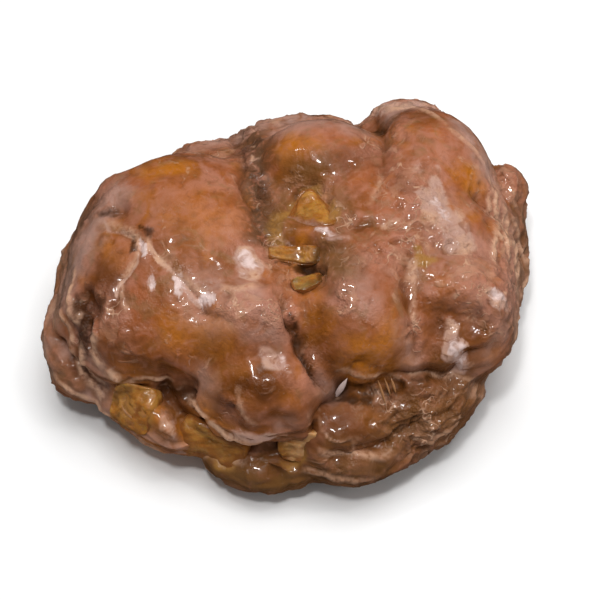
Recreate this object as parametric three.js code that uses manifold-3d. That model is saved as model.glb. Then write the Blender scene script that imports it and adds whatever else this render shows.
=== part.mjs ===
// Apple fritter: one knobbly piece of fried, glazed dough, made of folds pressed together over a craggy
// lower layer, with diced apple showing between the folds. Millimetres, +Z up. X runs along the length and
// -Y is the front, where the folds hang over the lower layer. The origin is under the middle of the box, on
// the flat spot that the fritter rests on.

import * as THREE from "three";
import { RoundedBoxGeometry } from "three/addons/geometries/RoundedBoxGeometry.js";
import { mergeVertices } from "three/addons/utils/BufferGeometryUtils.js";
import Module from "manifold-3d";

const wasm = await Module();
wasm.setup();

// Driving dimensions of the whole fritter
const LENGTH = 130;
const DEPTH = 113;
const HEIGHT = 46;

// Places and half sizes below are shares of the half length, the half depth and the height
const SHARE = new THREE.Vector3(LENGTH / 2, DEPTH / 2, HEIGHT);

// The dough's skin: triangles along an edge of the ball it starts from, and how it is shrunk on to the lumps
const SKIN_DETAIL = 22;
const SHRINK_STEPS = 70;
const SHRINK_RATE = 0.7;
const EVEN_OUT_RATE = 0.25;
const START_SIZE = 1.2;
const LUMP_BLEND = 2;
const SOFTENING = 0.5;

// The lumps that the dough was pressed together from: place, half sizes and turn about Z in degrees
const LUMPS = [
  { name: "core", at: [-0.02, -0.04, 0.35], half: [0.73, 0.66, 0.52], turn: 12 },
  { name: "left mass", at: [-0.43, -0.03, 0.46], half: [0.5, 0.6, 0.5], turn: 0 },
  { name: "right mass", at: [0.4, 0.11, 0.45], half: [0.54, 0.64, 0.5], turn: 0 },

  { name: "big left fold", at: [-0.46, 0.12, 0.58], half: [0.4, 0.46, 0.4], turn: 0 },
  { name: "low left fold", at: [-0.61, -0.27, 0.52], half: [0.31, 0.29, 0.31], turn: 0 },
  { name: "left shoulder", at: [-0.16, -0.34, 0.62], half: [0.25, 0.28, 0.32], turn: 0 },
  { name: "front fold", at: [-0.1, -0.59, 0.47], half: [0.29, 0.27, 0.33], turn: -6 },
  { name: "back middle fold", at: [0.14, 0.47, 0.6], half: [0.3, 0.26, 0.38], turn: 0 },
  { name: "back right fold", at: [0.57, 0.46, 0.56], half: [0.28, 0.37, 0.38], turn: 0 },
  { name: "centre fold", at: [0.28, -0.28, 0.58], half: [0.27, 0.34, 0.4], turn: 0 },
  { name: "right fold", at: [0.67, -0.23, 0.52], half: [0.25, 0.32, 0.37], turn: 0 },

  { name: "right rim", at: [0.83, 0.26, 0.28], half: [0.17, 0.45, 0.26], turn: 0 },
  { name: "right knob", at: [0.92, 0.48, 0.4], half: [0.08, 0.12, 0.18], turn: 0 },
  { name: "low right fold", at: [0.46, -0.48, 0.38], half: [0.24, 0.2, 0.28], turn: 10 },
  { name: "front right rim", at: [0.53, -0.6, 0.27], half: [0.27, 0.2, 0.26], turn: 30 },
  { name: "front rim", at: [0.26, -0.77, 0.25], half: [0.25, 0.2, 0.24], turn: 8 },
  { name: "upper end of the front rim", at: [0.22, -0.72, 0.3], half: [0.19, 0.14, 0.2], turn: 10 },
  { name: "front left rim", at: [-0.11, -0.84, 0.2], half: [0.22, 0.15, 0.2], turn: -8 },
  { name: "left front rim", at: [-0.5, -0.58, 0.26], half: [0.32, 0.19, 0.25], turn: -25 },
  { name: "lump between the front apples", at: [-0.45, -0.72, 0.3], half: [0.1, 0.1, 0.14], turn: 0 },
  { name: "left rim", at: [-0.83, -0.27, 0.27], half: [0.18, 0.3, 0.25], turn: 0 },
  { name: "left back rim", at: [-0.79, 0.07, 0.27], half: [0.18, 0.32, 0.25], turn: 0 },
  { name: "back left rim", at: [-0.38, 0.5, 0.31], half: [0.34, 0.28, 0.28], turn: 20 },
  { name: "fill of the back channel", at: [-0.15, 0.4, 0.5], half: [0.13, 0.3, 0.34], turn: -4 },
  { name: "back rim", at: [0.03, 0.71, 0.3], half: [0.33, 0.24, 0.28], turn: 6 },
  { name: "back right rim", at: [0.5, 0.78, 0.38], half: [0.22, 0.2, 0.33], turn: 0 },
];

// Creases and pits between the folds: depth, half width and half width of the floor in millimetres, and the
// route over the plan
const HOLLOWS = [
  {
    name: "channel at the back", depth: 3, width: 7, floor: 1,
    route: [[-0.21, 0.75], [-0.17, 0.6], [-0.14, 0.3], [-0.08, 0.1], [0.02, -0.02]],
  },
  {
    name: "where the apple lies", depth: 2.5, width: 8, floor: 4,
    route: [[0.08, 0.18], [0.02, 0.05], [0.03, -0.1], [0.05, -0.18]],
  },
  {
    name: "cleft to the front", depth: 3.5, width: 6.5, floor: 0.5,
    route: [[-0.03, -0.3], [0, -0.39], [0.04, -0.54], [0.09, -0.62], [0.17, -0.7]],
  },
  {
    name: "lip of the left folds", depth: 3, width: 5, floor: 0.5,
    route: [[-0.91, -0.37], [-0.74, -0.6], [-0.5, -0.63]],
  },
  {
    name: "lip of the front fold", depth: 5, width: 6, floor: 1,
    route: [[-0.5, -0.65], [-0.38, -0.78], [-0.17, -0.9], [0.02, -0.87], [0.19, -0.7]],
  },
  {
    name: "lip of the centre fold", depth: 3.5, width: 5, floor: 0.3,
    route: [[0.17, -0.71], [0.2, -0.65], [0.26, -0.61], [0.38, -0.6]],
  },
  {
    name: "lip of the right folds", depth: 2.5, width: 5, floor: 0.3,
    route: [[0.32, -0.63], [0.42, -0.63], [0.6, -0.57], [0.84, -0.46]],
  },
  {
    name: "lip of the front rim", depth: 3, width: 6, floor: 0,
    route: [[0.14, -0.93], [0.35, -0.89], [0.54, -0.74]],
  },
  {
    name: "between the back folds", depth: 3.5, width: 7, floor: 0.5,
    route: [[0.33, 0.91], [0.38, 0.5], [0.37, 0.3], [0.3, 0.08]],
  },
  {
    name: "hole at the back", depth: 4, width: 5, floor: 0.3,
    route: [[0.37, 0.69], [0.37, 0.66]],
  },
  {
    name: "behind the centre fold", depth: 3, width: 7, floor: 0.5,
    route: [[0.1, -0.03], [0.25, 0.03], [0.5, 0.05]],
  },
  {
    name: "behind the right fold", depth: 2.5, width: 7, floor: 0.5,
    route: [[0.49, 0.05], [0.6, -0.1], [0.86, -0.08]],
  },
  {
    name: "between the right folds", depth: 3, width: 7, floor: 0.5,
    route: [[0.47, -0.02], [0.47, -0.33], [0.49, -0.58]],
  },
  {
    name: "hollow in the right fold", depth: 3.5, width: 8, floor: 1,
    route: [[0.6, -0.4], [0.7, -0.41]],
  },
  {
    name: "glazed crease", depth: 2.5, width: 6, floor: 0.5,
    route: [[-0.8, 0.07], [-0.56, -0.08], [-0.32, -0.39], [-0.2, -0.48]],
  },
  {
    name: "crease branch", depth: 1.5, width: 5, floor: 0,
    route: [[-0.57, -0.06], [-0.65, -0.24], [-0.66, -0.36]],
  },
  {
    name: "left pit", depth: 5, width: 6, floor: 0.5,
    route: [[-0.81, -0.28], [-0.78, -0.34], [-0.8, -0.43]],
  },
  {
    name: "left dimple", depth: 1.5, width: 6, floor: 0,
    route: [[-0.7, 0.12], [-0.68, 0.11]],
  },
  {
    name: "front crack", depth: 4, width: 5, floor: 0,
    route: [[-0.22, -0.8], [-0.12, -0.91], [-0.05, -0.96], [0, -1.03]],
  },
  {
    name: "left crack", depth: 3, width: 5, floor: 0,
    route: [[-0.38, -0.66], [-0.38, -0.84]],
  },
  {
    name: "back left crack", depth: 3.5, width: 7, floor: 0,
    route: [[-0.72, 0.4], [-0.55, 0.55], [-0.5, 0.85]],
  },
  {
    name: "right crack", depth: 3.5, width: 7, floor: 0,
    route: [[0.72, 0.27], [0.9, 0.2], [1.02, 0.1]],
  },
];

// Uneven crust: wave lengths, with their heights on the folds and on the craggy lower layer
const CRAGS = [
  { length: 19, onFolds: 0.5, onRim: 0.9 },
  { length: 10, onFolds: 0.2, onRim: 0.6 },
];
const RIM_LEVEL = 0.4;
const FOLD_LEVEL = 0.65;
const WAVES = 24;
const GOLDEN_ANGLE = Math.PI * (3 - Math.sqrt(5));

// Diced apple: width, depth and height in millimetres, place, tilt, roll and heading in degrees, and by how
// much it narrows towards its back and widens towards its front
const APPLE_GAP = 0.3;
const APPLE_EDGE = 1.6;
const APPLE_ROUNDING = 1;
const APPLE_CHUNKS = [
  { name: "cleft_upper", size: [10, 15, 8], at: [0.09, 0.14, 0.8], turn: [-6, -13, 4], taper: 0.6 },
  { name: "cleft_lower", size: [14, 5, 8], at: [0.02, -0.08, 0.79], turn: [0, -3, -3], taper: 0 },
  { name: "cleft_small", size: [8, 5, 7], at: [0.08, -0.21, 0.81], turn: [0, -17, 10], taper: 0 },
  { name: "front_left", size: [14, 12, 8], at: [-0.58, -0.65, 0.37], turn: [38, -16, -20], taper: 0 },
  { name: "front", size: [18, 11, 8], at: [-0.3, -0.79, 0.29], turn: [55, 13, -38], taper: 0 },
  { name: "front_centre", size: [12, 10, 7], at: [0.06, -0.82, 0.35], turn: [55, -18, 0], taper: 0 },
];

const lumps = LUMPS.map(({ at, half, turn }) => ({
  centre: new THREE.Vector3(...at).multiply(SHARE),
  half: new THREE.Vector3(...half).multiply(SHARE),
  turn: new THREE.Quaternion().setFromAxisAngle(new THREE.Vector3(0, 0, 1), THREE.MathUtils.degToRad(turn)),
}));

const hollows = HOLLOWS.map(({ depth, width, floor, route }) => {
  const places = route.map(([x, y]) => new THREE.Vector3(x, y, 0).multiply(SHARE));
  const stretches = places.slice(1).map((place, i) => new THREE.Line3(places[i], place));
  return { depth, width, floor, stretches };
});

// Signed distance to the lumps run together, with the outward direction left in normal
function lumpDistance(point, normal) {
  let total = 0;
  const local = new THREE.Vector3();
  normal.set(0, 0, 0);
  for (const { centre, half, turn } of lumps) {
    local.copy(point).sub(centre).applyQuaternion(turn.clone().invert()).divide(half);
    const reach = local.length();
    local.divide(half);
    const slope = local.length();
    const weight = Math.exp((-reach * (reach - 1)) / slope / LUMP_BLEND);
    total += weight;
    normal.addScaledVector(local.applyQuaternion(turn), weight / slope);
  }
  normal.normalize();
  return -LUMP_BLEND * Math.log(total);
}

// The vertices that share an edge with each vertex of an indexed geometry
function neighboursOf(geometry) {
  const neighbours = Array.from({ length: geometry.attributes.position.count }, () => new Set());
  const index = geometry.index.array;
  for (let i = 0; i < index.length; i += 3)
    for (let corner = 0; corner < 3; corner++) {
      const from = index[i + corner];
      const to = index[i + ((corner + 1) % 3)];
      neighbours[from].add(to);
      neighbours[to].add(from);
    }
  return neighbours.map((set) => [...set]);
}

// The way from a point to the middle of its neighbours
function pullOf(point, around, points) {
  const middle = around.reduce((sum, j) => sum.add(points[j]), new THREE.Vector3());
  return middle.divideScalar(around.length).sub(point);
}

// A geometry with only its places, shared between its triangles
function shared(geometry) {
  geometry.deleteAttribute("normal");
  geometry.deleteAttribute("uv");
  return mergeVertices(geometry, 1e-4);
}

// A ball of even triangles round the lumps, shrunk until it lies on them
function shrunkSkin() {
  const skin = shared(new THREE.IcosahedronGeometry(1, SKIN_DETAIL));
  const neighbours = neighboursOf(skin);
  const places = skin.attributes.position;
  const middle = new THREE.Vector3(0, 0, HEIGHT / 2);
  const reach = new THREE.Vector3(LENGTH, DEPTH, HEIGHT).multiplyScalar(START_SIZE / 2);
  let points = neighbours.map((_, i) => new THREE.Vector3().fromBufferAttribute(places, i));
  points.forEach((point) => point.multiply(reach).add(middle));
  const normals = points.map(() => new THREE.Vector3());
  for (let step = 0; step < SHRINK_STEPS; step++) {
    points.forEach((point, i) => {
      const distance = lumpDistance(point, normals[i]);
      point.addScaledVector(normals[i], -SHRINK_RATE * distance);
    });
    points = points.map((point, i) => {
      const pull = pullOf(point, neighbours[i], points);
      pull.addScaledVector(normals[i], -pull.dot(normals[i]));
      return point.clone().addScaledVector(pull, EVEN_OUT_RATE);
    });
  }
  points.forEach((point, i) => point.addScaledVector(normals[i], -lumpDistance(point, normals[i])));
  return { skin, points, normals, neighbours };
}

// How far the creases and pits sink the skin at a point
function sinkAt(point) {
  const place = new THREE.Vector3(point.x, point.y, 0);
  const nearest = new THREE.Vector3();
  let sink = 0;
  for (const { depth, width, floor, stretches } of hollows)
    for (const stretch of stretches) {
      stretch.closestPointToPoint(place, true, nearest);
      const away = THREE.MathUtils.smoothstep(nearest.distanceTo(place), floor, width);
      sink = Math.max(sink, depth * (1 - away));
    }
  return sink;
}

// Waves of one length in directions spread evenly over a ball
function crustWaves(point, length) {
  let height = 0;
  for (let i = 0; i < WAVES; i++) {
    const rise = (2 * i + 1) / WAVES - 1;
    const level = Math.sqrt(1 - rise * rise);
    const angle = i * GOLDEN_ANGLE;
    const along = level * (Math.cos(angle) * point.x + Math.sin(angle) * point.y) + rise * point.z;
    height += Math.cos((2 * Math.PI * along) / length + i * i);
  }
  return height / Math.sqrt(WAVES / 2);
}

// How far the uneven crust stands out at a point, most on the lower layer
function cragsAt(point) {
  const fold = THREE.MathUtils.smoothstep(point.z, RIM_LEVEL * HEIGHT, FOLD_LEVEL * HEIGHT);
  let height = 0;
  for (const { length, onFolds, onRim } of CRAGS)
    height += THREE.MathUtils.lerp(onRim, onFolds, fold) * crustWaves(point, length);
  return height;
}

// The skin creased and roughened, flat where it would go under the resting level, and fitted to the driving
// dimensions
function doughGeometry() {
  const { skin, points: bare, normals, neighbours } = shrunkSkin();
  const rough = bare.map((point, i) => {
    const facingUp = THREE.MathUtils.smoothstep(normals[i].z, 0, 0.6);
    return point.clone().addScaledVector(normals[i], cragsAt(point) - facingUp * sinkAt(point));
  });
  const points = rough.map((point, i) => {
    const soft = point.clone().addScaledVector(pullOf(point, neighbours[i], rough), SOFTENING);
    return soft.setZ(Math.max(soft.z, 0));
  });
  const box = new THREE.Box3().setFromPoints(points);
  const middle = box.getCenter(new THREE.Vector3()).setZ(0);
  const fit = new THREE.Vector3(LENGTH, DEPTH, HEIGHT).divide(box.getSize(new THREE.Vector3()));
  points.forEach((point, i) => skin.attributes.position.setXYZ(i, ...point.sub(middle).multiply(fit)));
  return skin;
}

// A diced piece of apple in its place, made larger all round by a margin
function appleGeometry({ size, at, turn, taper }, margin) {
  const [width, depth, height] = size.map((side) => side + 2 * margin);
  const [tilt, roll, heading] = turn.map(THREE.MathUtils.degToRad);
  const place = new THREE.Vector3(...at).multiply(SHARE);
  const facing = new THREE.Quaternion().setFromEuler(new THREE.Euler(tilt, roll, heading, "ZXY"));
  const piece = new RoundedBoxGeometry(width, depth, height, APPLE_ROUNDING, APPLE_EDGE + margin);
  const places = piece.attributes.position;
  for (let i = 0; i < places.count; i++) {
    const narrowing = taper * THREE.MathUtils.clamp((2 * places.getY(i)) / size[1], -1, 1);
    const x = places.getX(i);
    places.setX(i, x - narrowing * Math.sign(x) * Math.max(Math.abs(x) - margin, 0));
  }
  return shared(piece.applyMatrix4(new THREE.Matrix4().compose(place, facing, new THREE.Vector3(1, 1, 1))));
}

function solidOf(geometry) {
  const vertProperties = geometry.attributes.position.array;
  const triVerts = new Uint32Array(geometry.index.array);
  return new wasm.Manifold(new wasm.Mesh({ numProp: 3, vertProperties, triVerts }));
}

function geometryOf(solid) {
  const { vertProperties, triVerts } = solid.getMesh();
  const geometry = new THREE.BufferGeometry();
  geometry.setAttribute("position", new THREE.BufferAttribute(vertProperties, 3));
  return geometry.setIndex(new THREE.BufferAttribute(triVerts, 1));
}

// The dough with an open pocket round each piece of apple
function pocketedDough() {
  let solid = solidOf(doughGeometry());
  for (const chunk of APPLE_CHUNKS) solid = solid.subtract(solidOf(appleGeometry(chunk, APPLE_GAP)));
  return geometryOf(solid);
}

const fritter = new THREE.Group();
const dough = new THREE.Mesh(
  pocketedDough(),
  new THREE.MeshStandardMaterial({ color: 0x9a6440, roughness: 0.3, metalness: 0 }),
);
dough.name = "dough";
fritter.add(dough);

for (const chunk of APPLE_CHUNKS) {
  const apple = new THREE.Mesh(
    appleGeometry(chunk, 0),
    new THREE.MeshStandardMaterial({ color: 0xa9783c, roughness: 0.25, metalness: 0 }),
  );
  apple.name = `apple_chunk_${chunk.name}`;
  fritter.add(apple);
}

export default fritter;
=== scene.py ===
import math
from types import SimpleNamespace

import bpy
import numpy as np
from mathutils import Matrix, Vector


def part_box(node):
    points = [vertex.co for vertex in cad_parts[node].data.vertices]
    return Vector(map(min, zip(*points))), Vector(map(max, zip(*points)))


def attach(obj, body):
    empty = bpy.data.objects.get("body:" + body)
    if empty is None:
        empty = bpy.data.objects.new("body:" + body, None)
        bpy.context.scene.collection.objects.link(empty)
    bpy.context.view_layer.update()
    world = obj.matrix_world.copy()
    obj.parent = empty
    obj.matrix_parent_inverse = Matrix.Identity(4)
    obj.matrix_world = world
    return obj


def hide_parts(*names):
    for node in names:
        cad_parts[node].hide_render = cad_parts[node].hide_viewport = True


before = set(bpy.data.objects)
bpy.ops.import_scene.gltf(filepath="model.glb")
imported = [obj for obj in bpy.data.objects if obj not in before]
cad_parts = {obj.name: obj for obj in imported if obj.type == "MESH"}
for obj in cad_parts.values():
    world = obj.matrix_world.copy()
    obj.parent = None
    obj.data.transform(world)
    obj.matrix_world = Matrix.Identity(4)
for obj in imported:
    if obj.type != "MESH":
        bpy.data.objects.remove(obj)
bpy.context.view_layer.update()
print("frame loaded with", len(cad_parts), "solids")

mm = 0.001  # lengths below are in millimetres, unless a note says otherwise
latticeCount = 32  # cubes along a side of a block of random numbers, which then repeats
doughBox = np.array([tuple(corner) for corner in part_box("dough")]) / mm
doughSize = doughBox[1] - doughBox[0]
fullShare = doughSize * (0.5, 0.5, 1)


# places or sizes in percent of the half length, the half depth and the height, in plan or in space, as millimetres
def placed(percents):
    shares = np.array(percents) / 100
    return shares * fullShare[:shares.shape[-1]]


# smoothstep from 0 at low to 1 at high
def ease(value, low, high):
    t = np.clip((value - low) / (high - low), 0, 1)
    return t * t * (3 - 2 * t)


# cosine and sine of an angle in degrees
def turnOf(degrees):
    return math.cos(math.radians(degrees)), math.sin(math.radians(degrees))


def unit(vectors):
    return vectors / np.maximum(np.linalg.norm(vectors, axis=-1, keepdims=True), 1e-12)


# random heights from -1 to 1 on a lattice of cubes of this size, eased between their corners
def softNoise(points, size, seed):
    lattice = np.random.default_rng(seed).uniform(-1, 1, (latticeCount,) * 3)
    spot = points / size
    cell = np.floor(spot).astype(int)
    t = spot - cell
    t = t * t * (3 - 2 * t)
    total = np.zeros(len(points))
    for corner in np.ndindex(2, 2, 2):
        weight = np.prod(np.where(corner, t, 1 - t), axis=1)
        total += weight * lattice[tuple(((cell + corner) % latticeCount).T)]
    return total


# softNoise added to itself at half the size and half the height, a few times over
def layeredNoise(points, size, seed, layers):
    return sum(softNoise(points, size / 2 ** i, seed + i) / 2 ** i for i in range(layers))


# places where layered noise is high, eased from 0 at low to 1 at high
def islands(points, size, seed, low, high):
    return ease(layeredNoise(points, size, seed, 2), low, high)


# a push at each point, with soft noise along each axis
def noisePush(points, size, seed):
    return np.stack([softNoise(points, size, seed + axis) for axis in range(3)], 1)


# sharp-crested waves, 1 - 2 * |noise|, at places pushed about by noise
def crinkles(points, size, seed, layers):
    pushed = points + 0.4 * size * noisePush(points, size, seed + 7)
    return 1 - 2 * np.abs(layeredNoise(pushed, size, seed, layers))


# height * a kind of noise, with its own start of the seed
def wave(kind, points, form, seed=0):
    height, size, start, layers = form
    return height * kind(points, size, seed + start, layers)


# distance to the nearest of dots scattered one to a cube of this size, in sizes, and that dot's own number, 0 to 1
def nearestDot(points, size, seed):
    dots = np.random.default_rng(seed).uniform(0, 1, (latticeCount,) * 3 + (4,))
    spot = points / size
    cell = np.floor(spot).astype(int)
    nearest, number = np.full(len(points), 9.0), np.zeros(len(points))
    for step in np.ndindex(3, 3, 3):
        other = cell + np.array(step) - 1
        dot = dots[tuple((other % latticeCount).T)]
        gap = np.linalg.norm(other + dot[:, :3] - spot, axis=1)
        number = np.where(gap < nearest, dot[:, 3], number)
        nearest = np.minimum(nearest, gap)
    return nearest, number


# places pushed about in plan by layered noise
def wandered(points, size, reach, seed):
    push = np.stack([layeredNoise(points, size, seed + 50 * axis, 2) for axis in range(2)], 1)
    return points + reach * np.pad(push, ((0, 0), (0, 1)))


# distance to a route of straight stretches between spots, and how far along it, 0 to 1
def routeGap(points, spots):
    lengths = np.linalg.norm(np.diff(spots, axis=0), axis=1)
    walked = np.append(0, np.cumsum(lengths)) / max(lengths.sum(), 1e-9)
    nearest, along = np.linalg.norm(points - spots[0], axis=1), np.zeros(len(points))
    for start, way, begin, length in zip(spots, np.diff(spots, axis=0), walked, np.diff(walked)):
        t = np.clip((points - start) @ way / max(way @ way, 1e-9), 0, 1)
        gap = np.linalg.norm(points - start - t[:, None] * way, axis=1)
        along = np.where(gap < nearest, begin + t * length, along)
        nearest = np.minimum(nearest, gap)
    return nearest, along


# 1 along a route, in plan or in space, easing to 0 between two distances from it
def nearness(points, route, inner, outer):
    spots = placed(route)
    return 1 - ease(routeGap(points[:, :spots.shape[1]], spots)[0], inner, outer)


# 0 at both ends of a route, rising by a power to 1 over a share of its length
def endFade(along, length, power):
    return np.clip(np.minimum(along, 1 - along) / length, 0, 1) ** power


# the largest of several soft-edged patches: strength along each route, easing to 0 at its radius
def patches(points, spots):
    mask = np.zeros(len(points))
    for strength, radius, *route in spots:
        mask = np.maximum(mask, strength * nearness(points, route, 0, radius))
    return mask


# a route laid on a skin: spots spread evenly along it, each moved to the nearest corner, then evened out
def laidSpots(skin, route, step):
    spots = placed(route)
    walked = np.append(0, np.cumsum(np.linalg.norm(np.diff(spots, axis=0), axis=1)))
    even = np.linspace(0, walked[-1], int(walked[-1] / step) + 2)
    line = np.stack([np.interp(even, walked, spots[:, axis]) for axis in range(3)], 1)
    line = np.stack([skin[np.argmin(((skin - spot) ** 2).sum(1))] for spot in line])
    line[1:-1] = (line[:-2] + 2 * line[1:-1] + line[2:]) / 4
    return line


# the six sides of a cube as square grids of whole-number corners, with the corners on shared edges counted once
def cubeGrids(cells):
    u, v = np.meshgrid(np.arange(cells + 1), np.arange(cells + 1), indexing="ij")
    low, high = np.zeros_like(u), np.full_like(u, cells)
    sides = [(high, u, v), (low, v, u), (v, high, u), (u, low, v), (u, v, high), (v, u, low)]
    corners = np.stack([np.stack(side, -1) for side in sides])
    key = corners @ np.array((1, cells + 1, (cells + 1) ** 2))
    _, first, ids = np.unique(key, return_index=True, return_inverse=True)
    ids = ids.reshape(key.shape)
    quads = np.stack((ids[:, :-1, :-1], ids[:, 1:, :-1], ids[:, 1:, 1:], ids[:, :-1, 1:]), -1).reshape(-1, 4)
    links = np.concatenate([quads[:, (k, (k + 1) % 4)] for k in range(4)])
    ball = unit(np.tan((corners.reshape(-1, 3)[first] / cells - 0.5) * math.pi / 2))
    return ids, quads, links, ball


# the mean of what each corner's neighbours hold
def neighbourMean(values, links):
    start, end = links.T
    counts = np.bincount(start, minlength=len(values))
    return np.stack([np.bincount(start, column[end], len(values)) / counts for column in values.T], 1)


def blurred(values, links, times):
    for _ in range(times):
        values = 0.5 * values + 0.5 * neighbourMean(values, links)
    return values


# corner normals: the crossed diagonals of the faces round each corner, added up
def cornerNormals(points, quads):
    a, b, c, d = (points[quads[:, k]] for k in range(4))
    faces = np.cross(c - a, d - b)
    sums = [np.bincount(quads.ravel(), np.repeat(faces[:, k], 4), len(points)) for k in range(3)]
    return unit(np.stack(sums, 1))


def newObject(name, data):
    thing = bpy.data.objects.new(name, data)
    bpy.context.collection.objects.link(thing)
    return thing


def meshPiece(name, points, quads, finish, attributes=None):
    mesh = bpy.data.meshes.new(name)
    mesh.from_pydata((points * mm).tolist(), [], quads.tolist())
    mesh.validate()
    mesh.shade_smooth()
    for key, values in (attributes or {}).items():
        mesh.attributes.new(key, "FLOAT", "POINT").data.foreach_set("value", values.astype(np.float32))
    mesh.materials.append(finish)
    piece = newObject(name, mesh)
    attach(piece, "root")
    print(name, len(points), "corners,", 2 * len(quads), "triangles")
    return piece


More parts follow.
